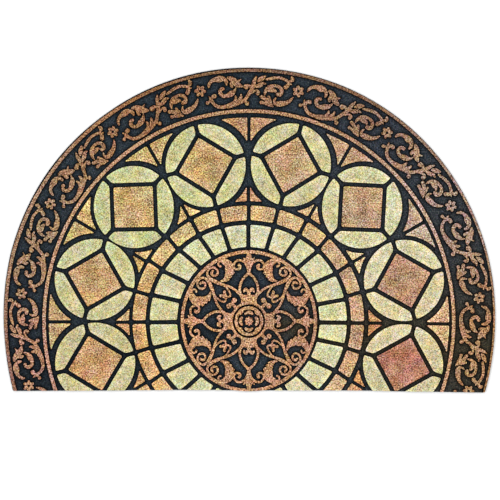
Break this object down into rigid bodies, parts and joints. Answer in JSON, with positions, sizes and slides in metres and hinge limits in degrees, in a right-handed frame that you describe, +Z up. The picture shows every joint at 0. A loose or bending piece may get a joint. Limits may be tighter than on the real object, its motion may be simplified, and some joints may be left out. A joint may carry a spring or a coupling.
{
  "type": "doormat",
  "caption": "Half-round rubber doormat with raised flocked tiles, petal circles round squares, a scroll border and a filigree medallion, laid flat.",
  "frame": {"origin": "centre of the mat's bounding rectangle, on the underside", "axes": "+X along the straight edge, the longest extent; +Y across the mat towards the top of the arc; +Z up, through the thickness, with the relief facing up"},
  "size_m": [0.889, 0.5844, 0.007],
  "materials": {
    "mat_rubber": "matt blue-black moulded rubber with a fine crumb grain",
    "flock_cream": "short dense flock, cream with a fine multicolour speckle",
    "flock_tan": "short dense flock, sandy tan with brown and red speckle",
    "flock_copper": "short dense flock, copper brown with a light speckle"
  },
  "bodies": {
    "root": {"rubber_mat": "mat_rubber"}
  },
  "joints": []
}
